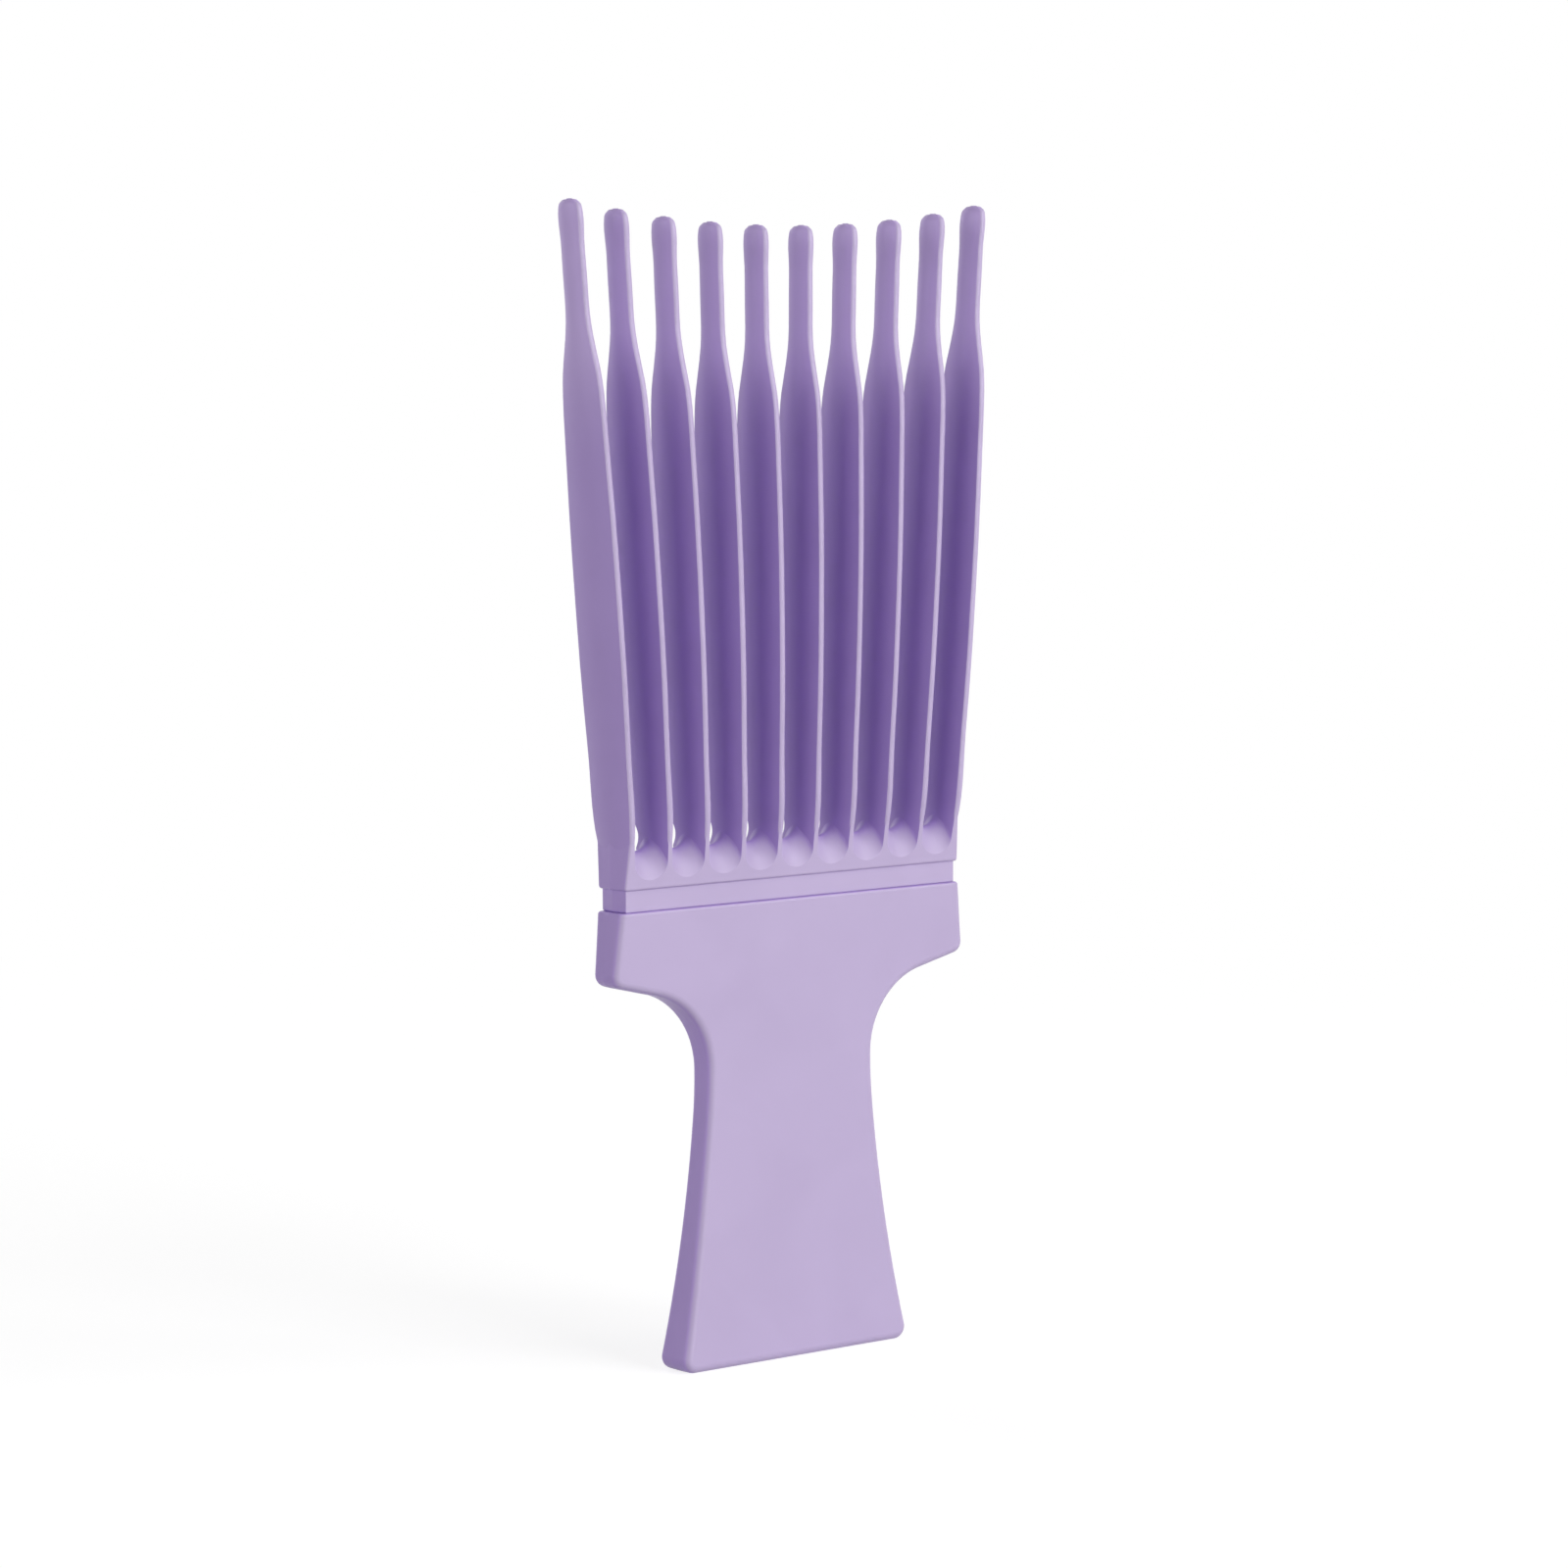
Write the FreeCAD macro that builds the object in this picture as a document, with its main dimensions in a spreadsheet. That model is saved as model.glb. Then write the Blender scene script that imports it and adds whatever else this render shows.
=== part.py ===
import FreeCAD, Part
import math
import os
import re

import PartDesign
import Sketcher
import Spreadsheet

# Afro pick in two mouldings: a comb head with ten long fanned teeth, and a flat flared handle.
# The head ends in a recessed neck band, a wide tang and a long tongue, and these plug into the handle.
# Frame: X across the width, Y from the front (minus) to the back (plus), Z up from the flat foot.

# Name, value in millimetres or degrees, and meaning of each size.
SIZES = [
    ("handle_length", 80.65, "foot to the seam under the neck band"),
    ("handle_step", 0.8, "how far the handle's sides stand outside the block's at the seam"),
    ("shoulder_flare", 1.3, "how far the shoulder corners stand outside the handle's top corners"),
    ("shoulder_height", 12.45, "seam to the shoulder corners"),
    ("shoulder_slope", 13.5, "degrees by which the shoulder's underside rises outwards"),
    ("shoulder_round", 2.1, "radius of the shoulder corners, seen from the front"),
    ("cut_in_radius", 14.3, "radius of the finger cut-ins under the shoulders"),
    ("waist_width", 36.5, "narrowest width of the handle"),
    ("grip_radius", 90.0, "radius of the waist below the cut-ins"),
    ("grip_length", 8.5, "height of the waist between the cut-ins and the flare"),
    ("foot_width", 50.9, "handle width at the foot"),
    ("foot_round", 2.2, "radius of the foot corners, seen from the front"),
    ("foot_depth", 8.2, "handle thickness at the foot"),
    ("waist_depth", 5.5, "handle thickness at its thinnest"),
    ("thin_height", 38.4, "height of the thinnest place"),
    ("side_draft", 2.5, "degrees of draft of each half of the handle's sides"),
    ("edge_round", 1.3, "radius of the handle's long edges"),
    ("seam_round", 0.5, "radius of the edges at the seam"),
    ("band_height", 3.8, "height of the neck band"),
    ("band_inset", 0.55, "how far the neck band stands in from the block all round"),
    ("neck_round", 0.35, "rounding of the band's lower edge, where it meets the handle"),
    ("block_height", 6.3, "neck band to the gap floors"),
    ("block_flare", 0.52, "how far the block's bottom corners stand outside its top corners"),
    ("block_depth", 7.6, "thickness of the head block at its bottom, and of the handle at the seam"),
    ("block_ridge", 0.45, "how far the parting ridge stands out on the block's and the band's sides"),
    ("tooth_count", 10, "number of teeth"),
    ("tooth_length", 105.9, "gap floors to the middle tips"),
    ("tip_rise", 3.9, "how far the outer tips stand above the middle ones"),
    ("root_pitch", 7.99, "tooth spacing at the gap floors"),
    ("tip_pitch", 9.965, "tooth spacing at the middle tips"),
    ("outer_lean_in", 0.6, "how far the two outermost tips stand inside the even fan"),
    ("root_depth", 9.9, "blade depth, front to back, at the block"),
    ("belly_depth", 12.2, "blade depth at its deepest"),
    ("belly_height", 40.0, "root to the deepest place of a blade"),
    ("blade_top_depth", 10.5, "blade depth where the slim end's swell ends"),
    ("rod_depth", 5.7, "depth of the slim end of a tooth"),
    ("rod_length", 17.6, "length of the slim end of a tooth"),
    ("swell_length", 14.2, "length over which the slim end swells into the blade"),
    ("blade_thickness", 2.6, "blade thickness at mid-depth"),
    ("rod_thickness", 2.3, "slim end's thickness at mid-depth"),
    ("land_width", 1.1, "width of the narrow front and back edges of a tooth"),
    ("land_crown", 0.25, "how far those edges bulge"),
    ("tip_round", 1.6, "length of the rounding at a tip"),
    ("root_merge", 0.15, "how far one surface dips under the other where a blade runs into the block"),
    ("scoop_drop", 4.3, "gap floor to the lowest point of its scoop on the face"),
    ("relief_height", 1.9, "gap floor to the middle of the round relief behind it"),
    ("relief_radius", 4.5, "radius of that relief on the blades' back edges"),
    ("relief_depth", 2.45, "how far forward of those edges the relief narrows to the gap"),
    ("tang_inset", 7.9, "how far the tang's ends lie inside the handle's top corners"),
    ("socket_wall", 2.1, "handle wall before and behind the tang's socket at the seam"),
    ("tang_length", 9.0, "length of the tang"),
    ("tongue_inset", 7.25, "how far the tongue's edges lie inside the handle's waist"),
    ("slot_wall", 1.45, "handle wall before and behind the tongue's slot at the thinnest place"),
    ("tongue_length", 38.0, "seam to the tongue's end"),
    ("tongue_chamfer", 0.6, "lead-in chamfer at the tongue's end"),
    ("fit_clearance", 0.1, "clearance of tang and tongue in their socket"),
    ("snap_radius", 0.4, "radius of the snap ridges on the tongue"),
    ("snap_height", 6.0, "tongue's end to its snap ridges"),
    ("snap_width", 14.0, "length of the snap ridges"),
    ("overrun", 2.0, "how far a cut runs past what it cuts"),
]

# Name, formula and meaning of each size that follows from those above.
FOLLOWING_SIZES = [
    ("floor_height", "=handle_length + band_height + block_height", "foot to the gap floors"),
    ("block_top", "=floor_height + (root_pitch - blade_thickness) / 2", "foot to where only the teeth go on"),
    ("fan_share", "=(tip_pitch - root_pitch) / tooth_length", "growth of the tooth spacing per height"),
    ("root_spread", "=(tooth_count - 1) * (root_pitch + fan_share * (block_top - floor_height))",
     "first tooth to last tooth at the block's top"),
    ("block_top_width", "=root_spread + land_width - 2 * root_merge", "width of the block's top corners"),
    ("block_width", "=block_top_width + 2 * block_flare", "width of the block's bottom corners"),
    ("block_top_depth", "=root_depth - 2 * root_merge", "thickness of the block at its top"),
    ("block_slope", "=(block_top_depth - block_depth) / (block_top - handle_length - band_height)",
     "growth of the block's thickness per height"),
    ("handle_top_width", "=block_width + 2 * handle_step", "handle width at the seam"),
    ("shoulder_width", "=handle_top_width + 2 * shoulder_flare", "handle width at the shoulder corners"),
    ("tang_width", "=handle_top_width - 2 * tang_inset", "width of the tang"),
    ("tang_depth", "=block_depth - 2 * (socket_wall + fit_clearance)", "thickness of the tang"),
    ("tongue_width", "=waist_width - 2 * tongue_inset", "width of the tongue"),
    ("tongue_depth", "=waist_depth - 2 * (slot_wall + fit_clearance)", "thickness of the tongue"),
]

doc = FreeCAD.newDocument("AfroPick")
sheet = doc.addObject("Spreadsheet::Sheet", "Sizes")
for number, (alias, amount, meaning) in enumerate(SIZES + FOLLOWING_SIZES, start=1):
    sheet.set(f"A{number}", alias)
    sheet.set(f"B{number}", str(amount))
    sheet.set(f"C{number}", meaning)
    sheet.setAlias(f"B{number}", alias)
doc.recompute()

ALIASES = "|".join(row[0] for row in SIZES + FOLLOWING_SIZES)
ALIAS_PATTERN = re.compile(rf"\b({ALIASES})\b")
Vector = FreeCAD.Vector


def formula(text):
    """Return the text as an expression whose names read the sheet."""
    return ALIAS_PATTERN.sub(r"<<Sizes>>.\1", text)


def value(text):
    """Return the present value of an expression written in the sheet's names."""
    result = sheet.evalExpression(formula(text))
    return float(getattr(result, "Value", result))


def bind(thing, **properties):
    """Bind properties of an object to expressions written in the sheet's names."""
    for name, text in properties.items():
        thing.setExpression(name, formula(text))


# Sketches

def new_sketch(body, name, plane, height=None):
    """Add a sketch on one of a body's origin planes, raised to a height if one is given."""
    support = next(f for f in body.Origin.OriginFeatures if f.Role == plane)
    sketch = body.newObject("Sketcher::SketchObject", name)
    sketch.AttachmentSupport = (support, [""])
    sketch.MapMode = "FlatFace"
    if height is not None:
        sketch.setExpression("AttachmentOffset.Base.z", formula(height))
    return sketch


def dimension(sketch, kind, places, text):
    """Add a dimension and drive it from the sheet."""
    index = sketch.addConstraint(Sketcher.Constraint(kind, *places, value(text)))
    sketch.setExpression(f"Constraints[{index}]", formula(text))


def pin(sketch, geometry, end, across, up):
    """Fix one end of a piece of geometry at a place given by two expressions."""
    dimension(sketch, "DistanceX", (-1, 1, geometry, end), across)
    dimension(sketch, "DistanceY", (-1, 1, geometry, end), up)


def end_at(sketch, geometry, point):
    """Return which end of a line or arc lies at a point."""
    ends = (1, 2)
    return min(ends, key=lambda end: (sketch.getPoint(geometry, end) - point).Length)


def join(sketch, kind, first, second, point):
    """Join two pieces of geometry, coincident or tangent, where they meet at a point."""
    ends = (first, end_at(sketch, first, point), second, end_at(sketch, second, point))
    sketch.addConstraint(Sketcher.Constraint(kind, *ends))


def draw_polygon(sketch, corners):
    """Draw a closed polygon whose corners are pairs of expressions."""
    points = [Vector(value(across), value(up), 0) for across, up in corners]
    lines = []
    for start, finish in zip(points, points[1:] + points[:1]):
        lines.append(sketch.addGeometry(Part.LineSegment(start, finish)))
    for line, following in zip(lines, lines[1:] + lines[:1]):
        sketch.addConstraint(Sketcher.Constraint("Coincident", line, 2, following, 1))
    for line, (across, up) in zip(lines, corners):
        pin(sketch, line, 1, across, up)


def draw_rectangle(sketch, width, height):
    """Draw a rectangle about the sketch's origin."""
    right, left = f"({width}) / 2", f"-({width}) / 2"
    top, bottom = f"({height}) / 2", f"-({height}) / 2"
    draw_polygon(sketch, [(left, bottom), (right, bottom), (right, top), (left, top)])


def draw_ridged(sketch, corner_width, ridge_width, depth):
    """Draw a rectangle whose two short sides come to a low ridge at mid-depth."""
    corner, ridge, half = f"({corner_width}) / 2", f"({ridge_width}) / 2", f"({depth}) / 2"
    draw_polygon(sketch, [
        (f"-{corner}", f"-{half}"), (corner, f"-{half}"), (ridge, "0"),
        (corner, half), (f"-{corner}", half), (f"-{ridge}", "0"),
    ])


# Features

def extrude(body, kind, name, sketch, length, both_ways=False):
    """Add a pad or pocket of a sketch, one way or evenly both ways."""
    feature = body.newObject(f"PartDesign::{kind}", name)
    feature.Profile = sketch
    if both_ways:
        feature.SideType = "Symmetric"
    bind(feature, Length=length)
    doc.recompute()
    return feature


def dress(body, kind, name, base, wanted, **sizes):
    """Add a fillet or chamfer on the edges of the base feature that are wanted."""
    names = [f"Edge{n}" for n, edge in enumerate(base.Shape.Edges, start=1) if wanted(edge)]
    feature = body.newObject(f"PartDesign::{kind}", name)
    feature.Base = (base, names)
    bind(feature, **sizes)
    doc.recompute()
    return feature


def runs_along(edge, axis):
    """Tell whether an edge runs mostly along one axis."""
    box = edge.BoundBox
    lengths = {"X": box.XLength, "Y": box.YLength, "Z": box.ZLength}
    return max(lengths, key=lengths.get) == axis


# Two heights closer than this count as one.
SAME_HEIGHT = 0.001


def level_with(edge, height):
    """Tell whether the whole edge lies at one height."""
    box = edge.BoundBox
    return abs(box.ZMin - height) < SAME_HEIGHT and abs(box.ZMax - height) < SAME_HEIGHT


# Handle

def tangent_arc(start, towards, finish):
    """Return the arc from start to finish whose centre lies in a given direction from its start."""
    chord = finish - start
    radius = chord.Length ** 2 / (2 * chord.dot(towards))
    centre = start + towards * radius
    middle = (start + finish) * 0.5 - centre
    return Part.Arc(start, centre + middle.normalize() * abs(radius), finish)


# Upper end of the handle's side edges, which run straight on past the seam.
TOP_END = ("handle_top_width / 2 - (shoulder_width - handle_top_width) / 2 * overrun / shoulder_height",
           "handle_length + overrun")


def draw_handle_side(sketch, side):
    """Draw one side of the handle's outline, from past the seam to past the foot."""
    slope = math.radians(value("shoulder_slope"))
    cut_in, grip = value("cut_in_radius"), value("grip_radius")
    top = Vector(value(TOP_END[0]), value(TOP_END[1]), 0)
    shoulder = Vector(value("shoulder_width / 2"), value("handle_length - shoulder_height"), 0)
    foot = Vector(value("foot_width / 2"), 0, 0)
    foot_end = Vector(foot.x, -value("overrun"), 0)
    waist = value("waist_width / 2")
    cut_centre_x = waist + cut_in
    drop = (shoulder.x - cut_centre_x) * math.tan(slope) + cut_in / math.cos(slope)
    cut_centre = Vector(cut_centre_x, shoulder.y - drop, 0)
    cut_start = cut_centre + Vector(-math.sin(slope), math.cos(slope), 0) * cut_in
    cut_middle_angle = math.radians(135) + slope / 2
    cut_middle = cut_centre + Vector(math.cos(cut_middle_angle), math.sin(cut_middle_angle), 0) * cut_in
    waist_point = Vector(waist, cut_centre.y, 0)
    grip_centre = Vector(waist + grip, cut_centre.y, 0)
    grip_angle = math.asin(value("grip_length") / grip)
    grip_end = grip_centre - Vector(math.cos(grip_angle), math.sin(grip_angle), 0) * grip
    grip_middle = grip_centre - Vector(math.cos(grip_angle / 2), math.sin(grip_angle / 2), 0) * grip

    def flip(point):
        return Vector(point.x * side, point.y, 0)

    towards = flip((grip_centre - grip_end).normalize())
    pieces = [
        Part.LineSegment(flip(top), flip(shoulder)),
        Part.LineSegment(flip(shoulder), flip(cut_start)),
        Part.Arc(flip(cut_start), flip(cut_middle), flip(waist_point)),
        Part.Arc(flip(waist_point), flip(grip_middle), flip(grip_end)),
        tangent_arc(flip(grip_end), towards, flip(foot)),
        Part.LineSegment(flip(foot), flip(foot_end)),
    ]
    edge, underside, cut_arc, grip_arc, flare, stub = [sketch.addGeometry(piece) for piece in pieces]
    join(sketch, "Coincident", edge, underside, flip(shoulder))
    join(sketch, "Tangent", underside, cut_arc, flip(cut_start))
    join(sketch, "Tangent", cut_arc, grip_arc, flip(waist_point))
    join(sketch, "Tangent", grip_arc, flare, flip(grip_end))
    join(sketch, "Coincident", flare, stub, flip(foot))
    sign = "" if side > 0 else "-"
    pin(sketch, edge, 1, f"{sign}({TOP_END[0]})", TOP_END[1])
    pin(sketch, underside, 1, f"{sign}shoulder_width / 2", "handle_length - shoulder_height")
    pin(sketch, stub, 1, f"{sign}foot_width / 2", "0")
    pin(sketch, stub, 2, f"{sign}foot_width / 2", "-overrun")
    dimension(sketch, "Radius", (cut_arc,), "cut_in_radius")
    dimension(sketch, "Radius", (grip_arc,), "grip_radius")
    waist_end = end_at(sketch, cut_arc, flip(waist_point))
    dimension(sketch, "DistanceX", (-1, 1, cut_arc, waist_end), f"{sign}waist_width / 2")
    sketch.addConstraint(Sketcher.Constraint("Horizontal", cut_arc, waist_end, cut_arc, 3))
    grip_finish = end_at(sketch, grip_arc, flip(grip_end))
    run = "shoulder_width / 2 - waist_width / 2 - cut_in_radius"
    lean = "shoulder_slope * 1 deg"
    rise = f"({run}) * tan({lean}) + cut_in_radius / cos({lean})"
    cut_height = f"handle_length - shoulder_height - ({rise})"
    dimension(sketch, "DistanceY", (-1, 1, cut_arc, 3), cut_height)
    dimension(sketch, "DistanceY", (-1, 1, grip_arc, grip_finish), f"{cut_height} - grip_length")
    return edge, stub


def draw_handle_outline(sketch):
    """Draw the handle's outline, seen from the front, running past the seam and the foot."""
    right_edge, right_stub = draw_handle_side(sketch, 1)
    left_edge, left_stub = draw_handle_side(sketch, -1)
    for right, left, end in ((right_edge, left_edge, 1), (right_stub, left_stub, 2)):
        start = sketch.getPoint(right, end)
        finish = sketch.getPoint(left, end)
        line = sketch.addGeometry(Part.LineSegment(start, finish))
        join(sketch, "Coincident", right, line, start)
        join(sketch, "Coincident", left, line, finish)


def draw_side_waste(sketch):
    """Draw what is cut off round the handle's side view: flat seam and foot, hollow faces."""
    margin = "foot_depth / 2 + 2 * overrun"
    draw_polygon(sketch, [
        (f"-({margin})", "-2 * overrun"), (margin, "-2 * overrun"),
        (margin, "handle_length + 2 * overrun"), (f"-({margin})", "handle_length + 2 * overrun"),
    ])
    seam_places = [("block_depth / 2", "handle_length"), ("-block_depth / 2", "handle_length")]
    foot_places = [("-foot_depth / 2", "0"), ("foot_depth / 2", "0")]
    lines = []
    for places in (seam_places, foot_places):
        points = [Vector(value(across), value(up), 0) for across, up in places]
        line = sketch.addGeometry(Part.LineSegment(*points))
        pin(sketch, line, 1, *places[0])
        pin(sketch, line, 2, *places[1])
        lines.append(line)
    seam, foot = lines
    for seam_end, foot_end, sign in ((1, 2, ""), (2, 1, "-")):
        thin_place = (f"{sign}waist_depth / 2", "thin_height")
        thin_point = Vector(value(thin_place[0]), value(thin_place[1]), 0)
        start, finish = sketch.getPoint(seam, seam_end), sketch.getPoint(foot, foot_end)
        arc = sketch.addGeometry(Part.Arc(start, thin_point, finish))
        join(sketch, "Coincident", seam, arc, start)
        join(sketch, "Coincident", foot, arc, finish)
        thin = sketch.addGeometry(Part.Point(thin_point), True)
        pin(sketch, thin, 1, *thin_place)
        sketch.addConstraint(Sketcher.Constraint("PointOnObject", thin, 1, arc))


def draw_snap(sketch, radius):
    """Draw the round section of the two snap ridges, seen from the side."""
    up = "handle_length - tongue_length + snap_height"
    for sign in ("", "-"):
        across = f"{sign}tongue_depth / 2"
        centre = Vector(value(across), value(up), 0)
        circle = sketch.addGeometry(Part.Circle(centre, Vector(0, 0, 1), value(radius)))
        pin(sketch, circle, 3, across, up)
        dimension(sketch, "Radius", (circle,), radius)


def make_handle():
    """Make the handle, with the socket for the comb head's tang and tongue."""
    body = doc.addObject("PartDesign::Body", "handle")
    outline = new_sketch(body, "handle_outline", "XZ_Plane")
    draw_handle_outline(outline)
    blank = body.newObject("PartDesign::Pad", "handle_blank")
    blank.Profile = outline
    blank.SideType = "Two sides"
    half = "foot_depth / 2 + overrun"
    bind(blank, Length=half, Length2=half, TaperAngle="-side_draft * 1 deg", TaperAngle2="-side_draft * 1 deg")
    doc.recompute()

    shoulder = value("handle_length - shoulder_height")
    reach = value("shoulder_round")

    def at_foot(edge):
        return runs_along(edge, "Y") and abs(edge.CenterOfMass.z) < reach

    def at_shoulder(edge):
        return runs_along(edge, "Y") and abs(edge.CenterOfMass.z - shoulder) < reach

    waste = new_sketch(body, "side_waste", "YZ_Plane")
    draw_side_waste(waste)
    faced = extrude(body, "Pocket", "trimmed_blank", waste, "2 * shoulder_width", both_ways=True)
    foot = dress(body, "Fillet", "foot_rounds", faced, at_foot, Radius="foot_round")
    corners = dress(body, "Fillet", "shoulder_rounds", foot, at_shoulder, Radius="shoulder_round")

    top = value("handle_length")
    thin = value("waist_depth / 4")

    def on_outline(edge):
        return abs(edge.CenterOfMass.y) > thin and not runs_along(edge, "Y") and not level_with(edge, top)

    def at_seam(edge):
        return level_with(edge, top)

    sides = dress(body, "Fillet", "edge_rounds", corners, on_outline, Radius="edge_round")
    dress(body, "Fillet", "seam_rounds", sides, at_seam, Radius="seam_round")

    mouth = new_sketch(body, "socket_mouth", "XY_Plane", "handle_length")
    draw_rectangle(mouth, "tang_width + 2 * fit_clearance", "tang_depth + 2 * fit_clearance")
    extrude(body, "Pocket", "tang_socket", mouth, "tang_length + fit_clearance")
    slot = new_sketch(body, "slot_mouth", "XY_Plane", "handle_length")
    draw_rectangle(slot, "tongue_width + 2 * fit_clearance", "tongue_depth + 2 * fit_clearance")
    extrude(body, "Pocket", "tongue_socket", slot, "tongue_length + fit_clearance")
    groove = new_sketch(body, "snap_groove_section", "YZ_Plane")
    draw_snap(groove, "snap_radius + fit_clearance")
    extrude(body, "Pocket", "snap_grooves", groove, "snap_width + 2 * fit_clearance", both_ways=True)
    return body


# Comb head

def fan_x(place, height):
    """Return the X, at a height, of a place counted in tooth spacings: the teeth fan out straight."""
    return place * (value("root_pitch") + value("fan_share") * (height - value("floor_height")))


def make_comb_blank():
    """Make the head's block, band, tang and tongue, without teeth and gaps."""
    body = doc.addObject("PartDesign::Body", "comb_blank")
    low = new_sketch(body, "block_bottom_section", "XY_Plane", "handle_length + band_height")
    draw_ridged(low, "block_width", "block_width + 2 * block_ridge", "block_depth")
    high = new_sketch(body, "block_top_section", "XY_Plane", "block_top")
    draw_ridged(high, "block_top_width", "block_top_width + blade_thickness - land_width",
                "block_top_depth")
    block = body.newObject("PartDesign::AdditiveLoft", "block")
    block.Profile = high
    block.Sections = [low]
    block.Ruled = True
    doc.recompute()

    bottom = value("handle_length + band_height")

    def upright_corner(edge):
        return runs_along(edge, "Z") and abs(edge.CenterOfMass.y) > value("block_depth / 4")

    def bottom_edge(edge):
        return level_with(edge, bottom)

    corners = dress(body, "Fillet", "block_corners", block, upright_corner, Radius="seam_round")
    dress(body, "Fillet", "block_seam_rounds", corners, bottom_edge, Radius="seam_round")

    band = new_sketch(body, "band_section", "XY_Plane", "handle_length")
    draw_ridged(band, "block_width - 2 * band_inset", "block_width - 2 * band_inset + 2 * block_ridge",
                "block_depth - 2 * band_inset")
    neck = extrude(body, "Pad", "neck_band", band, "band_height + seam_round")

    def neck_foot(edge):
        return level_with(edge, value("handle_length"))

    dress(body, "Fillet", "neck_seam_rounds", neck, neck_foot, Radius="neck_round")
    wide = new_sketch(body, "tang_section", "XY_Plane", "handle_length - tang_length")
    draw_rectangle(wide, "tang_width", "tang_depth")
    extrude(body, "Pad", "tang", wide, "tang_length")
    narrow = new_sketch(body, "tongue_section", "XY_Plane", "handle_length - tongue_length")
    draw_rectangle(narrow, "tongue_width", "tongue_depth")
    tongue = extrude(body, "Pad", "tongue", narrow, "tongue_length")
    end = value("handle_length - tongue_length")

    def tongue_end(edge):
        return level_with(edge, end) and runs_along(edge, "X")

    dress(body, "Chamfer", "tongue_lead_in", tongue, tongue_end, Size="tongue_chamfer")
    ridges = new_sketch(body, "snap_ridge_section", "YZ_Plane")
    draw_snap(ridges, "snap_radius")
    extrude(body, "Pad", "snap_ridges", ridges, "snap_width", both_ways=True)
    return body


# Stations of a scoop's loft, as shares of its reach before and behind mid-depth.
SCOOP_SHARES = (-1, -0.75, -0.5, -0.25, 0, 0.25, 0.5, 0.75, 1)
# How round the ridge of a gap's floor is at mid-depth, as a share of half the block's depth.
RIDGE_SHARE = 1.0


def scoop(place):
    """Return the cutter for one gap's floor, a trough that slopes from mid-depth to both faces."""
    top = value("block_top + overrun")
    reach = value("root_depth / 2 + overrun")
    edge = value("root_depth / 2 - land_crown")
    bulge = value("(blade_thickness - land_width) / 2")
    ridge = math.hypot(1, RIDGE_SHARE) - RIDGE_SHARE
    sections = []
    for depth in [share * reach for share in SCOOP_SHARES]:
        radius = value("(root_pitch - blade_thickness) / 2 + root_merge") + bulge * (depth / edge) ** 2
        out = depth / value("block_depth / 2")
        fall = value("scoop_drop") * (math.hypot(out, RIDGE_SHARE) - RIDGE_SHARE) / ridge
        bottom = value("floor_height") - fall
        level = bottom + radius
        left = Vector(fan_x(place, level) - radius, depth, level)
        right = Vector(fan_x(place, level) + radius, depth, level)
        lowest = Vector(fan_x(place, bottom), depth, bottom)
        left_top = Vector(fan_x(place, top) - radius, depth, top)
        right_top = Vector(fan_x(place, top) + radius, depth, top)
        sections.append(Part.Wire([
            Part.Arc(left, lowest, right).toShape(),
            Part.LineSegment(right, right_top).toShape(),
            Part.LineSegment(right_top, left_top).toShape(),
            Part.LineSegment(left_top, left).toShape(),
        ]))
    return Part.makeLoft(sections, True, False)


def relief(place):
    """Return the cone that hollows the blades' back edges round one gap's floor."""
    height = value("floor_height + relief_height")
    narrow = value("(root_pitch - blade_thickness) / 2")
    widening = (value("relief_radius") - narrow) / value("relief_depth")
    start = Vector(fan_x(place, height), value("root_depth / 2 - relief_depth"), height)
    length = value("relief_depth + overrun")
    return Part.makeCone(narrow, narrow + widening * length, length, start, Vector(0, 1, 0))


def tooth_section(centre, height, depth, thickness, land):
    """Return a tooth's section: two narrow crowned edges joined by two bulging flanks."""
    crown = value("land_crown") * land / value("land_width")
    half_depth, half_land, half_thick = depth / 2, land / 2, thickness / 2
    corner = half_depth - crown
    front_left = Vector(centre - half_land, -corner, height)
    front_right = Vector(centre + half_land, -corner, height)
    back_left = Vector(centre - half_land, corner, height)
    back_right = Vector(centre + half_land, corner, height)
    return Part.Wire([
        Part.Arc(front_left, Vector(centre, -half_depth, height), front_right).toShape(),
        Part.Arc(front_right, Vector(centre + half_thick, 0, height), back_right).toShape(),
        Part.Arc(back_right, Vector(centre, half_depth, height), back_left).toShape(),
        Part.Arc(back_left, Vector(centre - half_thick, 0, height), front_left).toShape(),
    ])


def smooth_step(share):
    """Return a share eased at both ends and held between 0 and 1."""
    share = min(max(share, 0), 1)
    return share * share * (3 - 2 * share)


# Stations of a tooth's loft: angles round the tip, and shares of the slim end, the swell and the blade.
TIP_ANGLES = (14, 28, 45, 65, 90)
ROD_SHARES = (0.3, 0.6, 0.85)
SWELL_SHARES = (0, 0.2, 0.4, 0.6, 0.8, 1)
BLADE_SHARES = (0.12, 0.25, 0.4, 0.55, 0.7, 0.85, 1)


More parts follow.
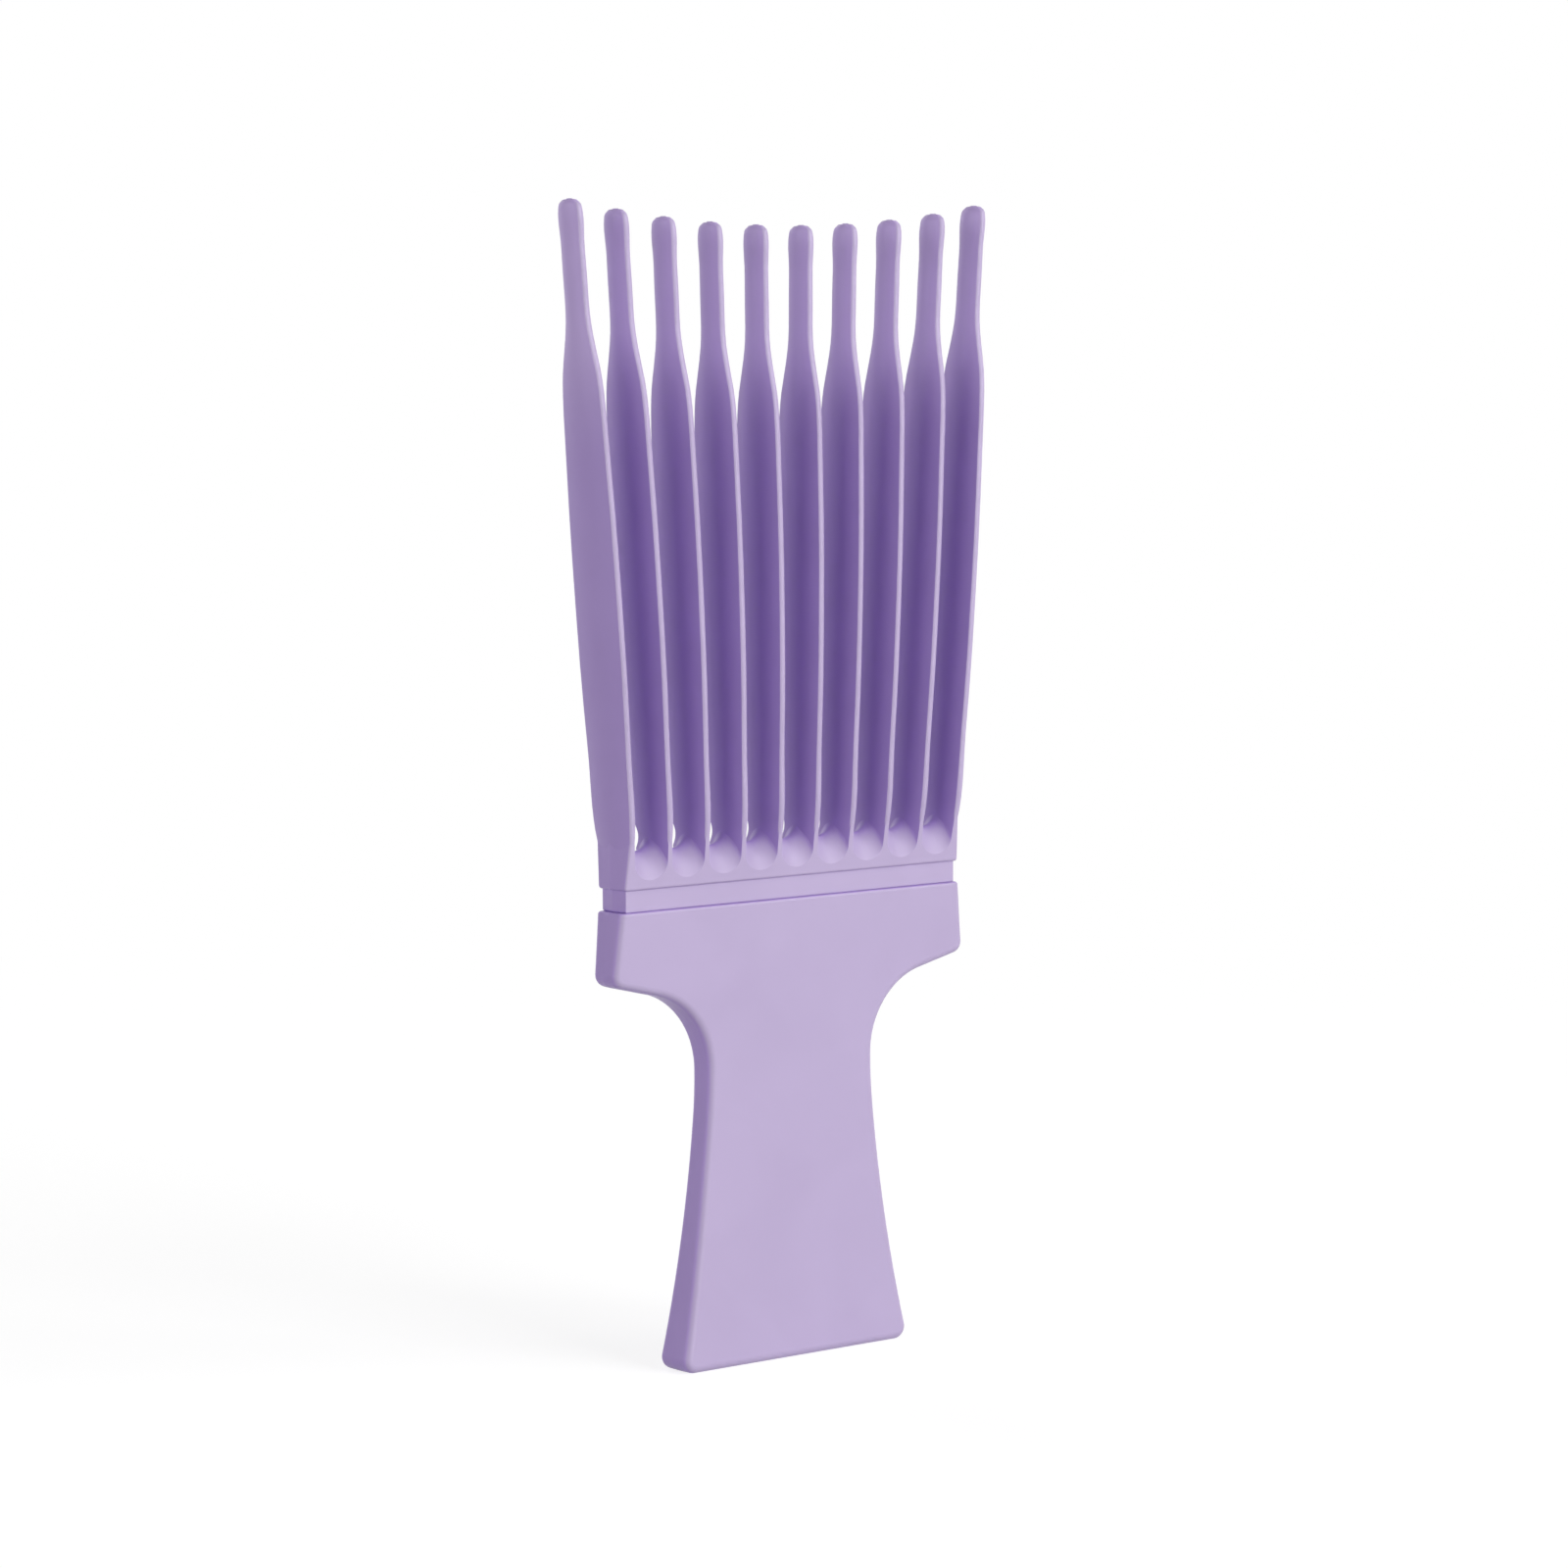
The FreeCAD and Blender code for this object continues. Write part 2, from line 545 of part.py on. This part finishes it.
def make_tooth(number):
    """Make one tooth: a slim round-ended rod that swells into a deep thin blade."""
    place = number - value("(tooth_count - 1) / 2")
    outermost = value("(tooth_count - 1) / 2")
    lean_in = math.copysign(value("outer_lean_in"), place) if abs(place) == outermost else 0
    tip = value("floor_height + tooth_length") + value("tip_rise") * (place / outermost) ** 2
    root = value("block_top")
    rod_length, swell_length = value("rod_length"), value("swell_length")
    blade_start = rod_length + swell_length
    blade_length = tip - root - blade_start
    belly = tip - root - value("belly_height")

    def blade_depth(distance):
        above = distance < belly
        span = belly - blade_start if above else value("belly_height")
        fall = value("belly_depth - blade_top_depth" if above else "belly_depth - root_depth")
        return value("belly_depth") - fall * ((distance - belly) / span) ** 2

    def section(distance, scale=1.0):
        swell = smooth_step((distance - rod_length) / swell_length)
        depth = value("rod_depth") + (blade_depth(distance) - value("rod_depth")) * swell
        thickness = value("rod_thickness") + value("blade_thickness - rod_thickness") * swell
        height = tip - distance
        centre = fan_x(place, height) - lean_in * (1 - distance / (tip - root))
        return tooth_section(centre, height, depth * scale, thickness * scale, value("land_width") * scale)

    def buried_section(share, sink):
        height = root - value("block_height / 2 + block_top - floor_height") * share
        depth = value("block_depth") + value("block_slope") * (height - value("handle_length + band_height"))
        return tooth_section(fan_x(place, height), height, depth - 2 * sink,
                             value("blade_thickness") - 2 * sink, value("land_width") - 2 * sink)

    tip_round = value("tip_round")
    sections = []
    for angle in TIP_ANGLES:
        turn = math.radians(angle)
        sections.append(section(tip_round * (1 - math.cos(turn)), math.sin(turn)))
    sections += [section(tip_round + (rod_length - tip_round) * share) for share in ROD_SHARES]
    sections += [section(rod_length + swell_length * share) for share in SWELL_SHARES]
    sections += [section(blade_start + blade_length * share) for share in BLADE_SHARES]
    sections.append(buried_section(0.5, value("root_merge")))
    sections.append(buried_section(1, value("3 * root_merge")))
    tooth = doc.addObject("Part::Feature", f"tooth_{number + 1}")
    tooth.Shape = Part.makeLoft(sections, True, False)
    return tooth


def make_comb_head():
    """Make the comb head: the blank, less the gap scoops, with its teeth, less the reliefs behind."""
    blank = make_comb_blank()
    count = int(value("tooth_count"))
    places = [gap + 1 - count / 2 for gap in range(count - 1)]
    scoops = doc.addObject("Part::Feature", "gap_scoops")
    scoops.Shape = Part.makeCompound([scoop(place) for place in places])
    scooped = doc.addObject("Part::Cut", "scooped_block")
    scooped.Base = blank
    scooped.Tool = scoops
    toothed = doc.addObject("Part::MultiFuse", "toothed_block")
    toothed.Shapes = [scooped] + [make_tooth(number) for number in range(count)]
    reliefs = doc.addObject("Part::Feature", "gap_reliefs")
    cones = [relief(place) for place in places]
    reliefs.Shape = cones[0].multiFuse(cones[1:])
    head = doc.addObject("Part::Cut", "comb_head")
    head.Base = toothed
    head.Tool = reliefs
    return head


sub_parts = [make_handle(), make_comb_head()]
for sub_part in sub_parts:
    sub_part.Label = sub_part.Name
doc.recompute()

for item in doc.Objects:
    if "Invalid" in item.State or "Error" in item.State:
        raise RuntimeError(f"{item.Name} failed: {item.State}")
for sub_part in sub_parts:
    shape = sub_part.Shape
    if shape.isNull() or not shape.isValid() or len(shape.Solids) != 1:
        raise RuntimeError(f"{sub_part.Label} isn't one valid solid")
    print(sub_part.Label, "volume", round(shape.Volume, 1), "box", shape.BoundBox)

os.makedirs("parts", exist_ok=True)
for sub_part in sub_parts:
    sub_part.Shape.exportStep(f"parts/{sub_part.Label}.step")
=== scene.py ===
"""Looks of the afro pick: a comb head and a handle, both lilac mouldings, in a plain white studio."""
import math

import bpy
from mathutils import Matrix, Vector


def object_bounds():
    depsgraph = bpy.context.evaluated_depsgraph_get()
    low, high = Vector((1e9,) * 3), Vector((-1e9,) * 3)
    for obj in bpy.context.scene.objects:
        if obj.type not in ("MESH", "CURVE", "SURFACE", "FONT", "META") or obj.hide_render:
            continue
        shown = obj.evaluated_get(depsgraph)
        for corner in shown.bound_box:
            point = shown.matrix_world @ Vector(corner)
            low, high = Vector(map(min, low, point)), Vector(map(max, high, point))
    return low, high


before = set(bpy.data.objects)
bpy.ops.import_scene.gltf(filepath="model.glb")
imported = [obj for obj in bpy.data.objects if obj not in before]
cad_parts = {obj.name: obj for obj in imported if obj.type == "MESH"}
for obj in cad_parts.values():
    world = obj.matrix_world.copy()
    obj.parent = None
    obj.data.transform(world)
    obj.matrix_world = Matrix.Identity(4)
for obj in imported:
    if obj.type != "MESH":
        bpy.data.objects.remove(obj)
CAD_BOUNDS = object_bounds()


# Sizes and places, in metres

MM = 0.001

PICK_TOP = CAD_BOUNDS[1].z
PICK_MIDDLE = Vector((0, 0, PICK_TOP / 2))

# Painted light on the teeth's slim ends, a paler lilac: wholly so down to one length from the top, then
# fading over the other
PALE_LENGTH = 20.5 * MM
FADE_LENGTH = 25 * MM
PALE_FROM = PICK_TOP - PALE_LENGTH
FADE_FROM = PALE_FROM - FADE_LENGTH

# What the moulding leaves on the plastic: dye clouds, patches of gloss and orange peel
CLOUD_LENGTH = 22 * MM
PATCH_LENGTH = 14 * MM
PEEL_PITCH = 0.9 * MM
PEEL_DEPTH = 0.01 * MM

# Floor: its shadow shows near the pick, and fades into plain white farther away
FLOOR_RADIUS = 4.0
SHADOW_REACH = 0.25
WHITE_FROM = 0.6

# Softboxes, all alike and at one distance
SOFTBOX_SIDE = 1.07
SOFTBOX_DISTANCE = 2.0

# Camera, from the foot of the pick; its lens as the photograph's pixels give it
CAMERA_BACK = 837.2 * MM
CAMERA_UP = 175.75 * MM
CAMERA_RIGHT = 0.42 * MM
CAMERA_YAW = math.radians(39.0)
CAMERA_PITCH = math.radians(5.157)
CAMERA_ROLL = math.radians(-0.329)
PHOTO_WIDTH_PX = 1600
FOCAL_LENGTH_PX = 4942
SENSOR_WIDTH_MM = 36.0


# Finish of satin ABS

# How squarely a surface faces front or back where the painted sheen begins, and where it is whole
SHEEN_BEGINS = 0.25
SHEEN_IS_WHOLE = 0.85

# Noise values between which the dye clouds go from dark to pale, and the skin from smooth to rough
DARK_BELOW = 0.35
PALE_ABOVE = 0.70
SMOOTH_BELOW = 0.25
ROUGH_ABOVE = 0.75

SMOOTHEST = 0.38
ROUGHEST = 0.42
ABS_IOR = 1.54
SATIN_SPECULAR = 0.3


# Light of the floor as the camera sees it, and of the room on the pick

FLOOR_GLOW = 0.80
ROOM_LIGHT = 0.02


# Colours

# Front and back faces: a paler, greyer lilac, a painted sheen standing in for the front light's reflection
FACE_PAINTED_SHEEN_SHADES = ("#B3A4C7", "#B7A8CB")
# Walls: the plastic's own deeper lilac
WALL_SHADES = ("#B096D6", "#B49ADA")
# Slim ends' walls: a paler lilac, painted light standing in for light through the thin plastic
SLIM_PAINTED_LIGHT_SHADES = ("#C3ABE3", "#C7AFE7")
PAPER_WHITE = "#FFFFFF"
PAPER_PALE = "#CCCCCC"
PAPER_SHADOWED = "#A0A0A0"


def linear(code):
    """Return an sRGB hex colour as linear RGBA."""
    parts = [int(code[i:i + 2], 16) / 255 for i in (1, 3, 5)]
    return [c / 12.92 if c <= 0.04045 else ((c + 0.055) / 1.055) ** 2.4 for c in parts] + [1.0]


# Nodes

def add_node(tree, kind, settings=None, **inputs):
    """Add a node with its settings; inputs are values or (node, output) links.

    An input goes by its name, or by its number, such as _0, where several share a name. A Mix node keeps a
    set of sockets for each kind of value: for colours, they are inputs 6 and 7 and output 2.
    """
    node = tree.nodes.new(kind)
    for name, amount in (settings or {}).items():
        setattr(node, name, amount)
    for name, amount in inputs.items():
        socket = node.inputs[int(name[1:])] if name[1:].isdigit() else node.inputs[name.replace("_", " ")]
        if isinstance(amount, tuple) and isinstance(amount[0], bpy.types.Node):
            tree.links.new(amount[0].outputs[amount[1]], socket)
        else:
            socket.default_value = amount
    return node


def new_material(name):
    """Return a new material with an empty node tree."""
    material = bpy.data.materials.new(name)
    material.use_nodes = True
    material.node_tree.nodes.clear()
    return material


def seen_mask(tree):
    """Return a node that is 1 where the surroundings are seen, and 0 where they light something."""
    path = add_node(tree, "ShaderNodeLightPath")
    direct = add_node(tree, "ShaderNodeMath", {"operation": "MAXIMUM"},
                      _0=(path, "Is Camera Ray"), _1=(path, "Is Glossy Ray"))
    return add_node(tree, "ShaderNodeMath", {"operation": "MAXIMUM"},
                    _0=(direct, "Value"), _1=(path, "Is Transmission Ray"))


# The pick's plastic

def moulded_plastic(name):
    """Satin ABS, dyed lilac in the mass and injection-moulded in a steel mould that opens front to back.

    The faces that look front or back get a painted sheen: a paler, greyer lilac that stands in for the
    whitish reflection of the front light. The walls along the opening, such as the teeth's flanks, keep the
    deeper lilac of the plastic. The walls of the teeth's slim ends are painted paler again, painted light
    that stands in for light coming through the thin plastic, and have shades of their own. The dye flows a
    little unevenly, which gives a faint cloudiness, and the whole skin has a slightly uneven gloss over a
    very fine orange peel.
    """
    material = new_material(name)
    tree = material.node_tree
    place = add_node(tree, "ShaderNodeTexCoord")

    # How squarely the surface faces the front or the back: 0 edge on, 1 square on; the painted sheen follows
    # it
    look = add_node(tree, "ShaderNodeSeparateXYZ", Vector=(place, "Normal"))
    squareness = add_node(tree, "ShaderNodeMath", {"operation": "ABSOLUTE"}, _0=(look, "Y"))
    painted_sheen_share = add_node(tree, "ShaderNodeMapRange", {"interpolation_type": "SMOOTHSTEP"},
                        Value=(squareness, "Value"), From_Min=SHEEN_BEGINS, From_Max=SHEEN_IS_WHOLE)

    # How far up the teeth the surface is: 0 on the blades, 1 on the slim ends, which get painted light
    spot = add_node(tree, "ShaderNodeSeparateXYZ", Vector=(place, "Object"))
    slimness = add_node(tree, "ShaderNodeMapRange", {"interpolation_type": "SMOOTHSTEP"},
                        Value=(spot, "Z"), From_Min=FADE_FROM, From_Max=PALE_FROM)

    # Each place's colour drifts between two shades, as the dye flowed in the mould
    flow = add_node(tree, "ShaderNodeTexNoise", Vector=(place, "Object"),
                    Scale=1 / CLOUD_LENGTH, Detail=2.0, Roughness=0.5, Distortion=0.6)
    drift = add_node(tree, "ShaderNodeMapRange", Value=(flow, "Fac"),
                     From_Min=DARK_BELOW, From_Max=PALE_ABOVE)
    wall, slim, sheen_face = (
        add_node(tree, "ShaderNodeMix", {"data_type": "RGBA"}, _0=(drift, "Result"),
                 _6=linear(darker), _7=linear(paler))
        for darker, paler in (WALL_SHADES, SLIM_PAINTED_LIGHT_SHADES, FACE_PAINTED_SHEEN_SHADES))
    # The slim ends' walls get their painted light, a paler lilac
    walls_and_painted_light_ends = add_node(tree, "ShaderNodeMix", {"data_type": "RGBA"}, _0=(slimness, "Result"),
                      _6=(wall, 2), _7=(slim, 2))
    # Faces that look front or back get the painted sheen, a paler, greyer lilac
    lilac = add_node(tree, "ShaderNodeMix", {"data_type": "RGBA"}, _0=(painted_sheen_share, "Result"),
                     _6=(walls_and_painted_light_ends, 2), _7=(sheen_face, 2))

    polish = add_node(tree, "ShaderNodeTexNoise", Vector=(place, "Object"),
                      Scale=1 / PATCH_LENGTH, Detail=1.0, Roughness=0.5)
    gloss = add_node(tree, "ShaderNodeMapRange", Value=(polish, "Fac"),
                     From_Min=SMOOTH_BELOW, From_Max=ROUGH_ABOVE, To_Min=SMOOTHEST, To_Max=ROUGHEST)
    peel = add_node(tree, "ShaderNodeTexNoise", Vector=(place, "Object"), Scale=1 / PEEL_PITCH, Detail=2.0)
    skin = add_node(tree, "ShaderNodeBump", Height=(peel, "Fac"), Strength=0.1, Distance=PEEL_DEPTH)
    shader = add_node(tree, "ShaderNodeBsdfPrincipled", Base_Color=(lilac, 2), Roughness=(gloss, "Result"),
                      Normal=(skin, "Normal"), IOR=ABS_IOR, Specular_IOR_Level=SATIN_SPECULAR)
    add_node(tree, "ShaderNodeOutputMaterial", Surface=(shader, "BSDF"))
    return material


def dress_pick():
    """Give the comb head and the handle the same plastic, as one maker moulds both."""
    plastic = moulded_plastic("injection_moulded_abs_lilac")
    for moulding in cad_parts.values():
        moulding.data.materials.clear()
        moulding.data.materials.append(plastic)


# Stage

def studio_paper(name):
    """Matt white studio paper: seen as white, with a faint shadow near the pick; plain pale for the light."""
    material = new_material(name)
    tree = material.node_tree
    pale = add_node(tree, "ShaderNodeBsdfDiffuse", Color=linear(PAPER_PALE))
    shadowed = add_node(tree, "ShaderNodeBsdfDiffuse", Color=linear(PAPER_SHADOWED))
    glow = add_node(tree, "ShaderNodeEmission", Color=linear(PAPER_WHITE), Strength=FLOOR_GLOW)
    near = add_node(tree, "ShaderNodeAddShader", _0=(shadowed, "BSDF"), _1=(glow, "Emission"))
    far = add_node(tree, "ShaderNodeEmission", Color=linear(PAPER_WHITE), Strength=1.0)
    spot = add_node(tree, "ShaderNodeNewGeometry")
    reach = add_node(tree, "ShaderNodeVectorMath", {"operation": "LENGTH"}, _0=(spot, "Position"))
    fade = add_node(tree, "ShaderNodeMapRange", Value=(reach, "Value"),
                    From_Min=SHADOW_REACH, From_Max=WHITE_FROM)
    seen = add_node(tree, "ShaderNodeMixShader", _0=(fade, "Result"),
                    _1=(near, "Shader"), _2=(far, "Emission"))
    paper = add_node(tree, "ShaderNodeMixShader", _0=(seen_mask(tree), "Value"),
                     _1=(pale, "BSDF"), _2=(seen, "Shader"))
    add_node(tree, "ShaderNodeOutputMaterial", Surface=(paper, "Shader"))
    return material


def make_floor():
    """Lay a wide round sheet of white paper under the pick."""
    bpy.ops.mesh.primitive_circle_add(vertices=96, radius=FLOOR_RADIUS, fill_type="NGON", location=(0, 0, 0))
    floor = bpy.context.object
    floor.name = "studio_floor"
    floor.data.materials.append(studio_paper("studio_paper_matt_white"))


def make_world():
    """Surround the pick with a white room that lights it only a little."""
    world = bpy.data.worlds.new("studio_room")
    bpy.context.scene.world = world
    world.use_nodes = True
    tree = world.node_tree
    tree.nodes.clear()
    dim = add_node(tree, "ShaderNodeBackground", Color=linear(PAPER_WHITE), Strength=ROOM_LIGHT)
    white = add_node(tree, "ShaderNodeBackground", Color=linear(PAPER_WHITE), Strength=1.0)
    room = add_node(tree, "ShaderNodeMixShader", _0=(seen_mask(tree), "Value"),
                    _1=(dim, "Background"), _2=(white, "Background"))
    add_node(tree, "ShaderNodeOutputWorld", Surface=(room, "Shader"))


def softbox(name, bearing, rise, power, gleams=True):
    """Hang a softbox aimed at the pick's middle.

    Bearing is in degrees from the front to the right, and rise in degrees above the horizon. A softbox that
    doesn't gleam gives its light without showing up as a reflection.
    """
    turn, lift = math.radians(bearing), math.radians(rise)
    way = Vector((math.sin(turn) * math.cos(lift), -math.cos(turn) * math.cos(lift), math.sin(lift)))
    lamp = bpy.data.lights.new(name, "AREA")
    lamp.shape = "SQUARE"
    lamp.size = SOFTBOX_SIDE
    lamp.energy = power
    holder = bpy.data.objects.new(name, lamp)
    bpy.context.scene.collection.objects.link(holder)
    holder.location = PICK_MIDDLE + way * SOFTBOX_DISTANCE
    holder.rotation_euler = (-way).to_track_quat("-Z", "Y").to_euler()
    holder.visible_camera = False
    holder.visible_glossy = gleams


def make_lamps():
    """Light the front most, and the sides and the back enough to keep their colour."""
    softbox("front_softbox", bearing=10, rise=15, power=32.0)
    softbox("high_right_softbox", bearing=45, rise=35, power=11.5)
    softbox("left_front_softbox", bearing=-75, rise=15, power=7.5)
    softbox("left_softbox", bearing=-120, rise=15, power=8.2)
    softbox("back_softbox", bearing=172, rise=20, power=15.0, gleams=False)


def make_camera():
    """Set up the camera as the photograph has it: front left, a little above, long lens."""
    right = Vector((math.cos(CAMERA_YAW), -math.sin(CAMERA_YAW), 0))
    ahead = Vector((math.sin(CAMERA_YAW), math.cos(CAMERA_YAW), 0))
    up = Vector((0, 0, 1))
    place = right * CAMERA_RIGHT - ahead * CAMERA_BACK + up * CAMERA_UP
    gaze = ahead * math.cos(CAMERA_PITCH) - up * math.sin(CAMERA_PITCH)
    level = ahead * math.sin(CAMERA_PITCH) + up * math.cos(CAMERA_PITCH)
    across = right * math.cos(CAMERA_ROLL) + level * math.sin(CAMERA_ROLL)
    upward = level * math.cos(CAMERA_ROLL) - right * math.sin(CAMERA_ROLL)
    lens = bpy.data.cameras.new("camera")
    lens.sensor_width = SENSOR_WIDTH_MM
    lens.lens = SENSOR_WIDTH_MM * FOCAL_LENGTH_PX / PHOTO_WIDTH_PX
    holder = bpy.data.objects.new("camera", lens)
    bpy.context.scene.collection.objects.link(holder)
    turn = Matrix((across, upward, -gaze)).transposed()
    holder.matrix_world = Matrix.Translation(place) @ turn.to_4x4()
    bpy.context.scene.camera = holder


dress_pick()
make_floor()
make_world()
make_lamps()
make_camera()
bpy.context.scene.view_settings.view_transform = "Standard"
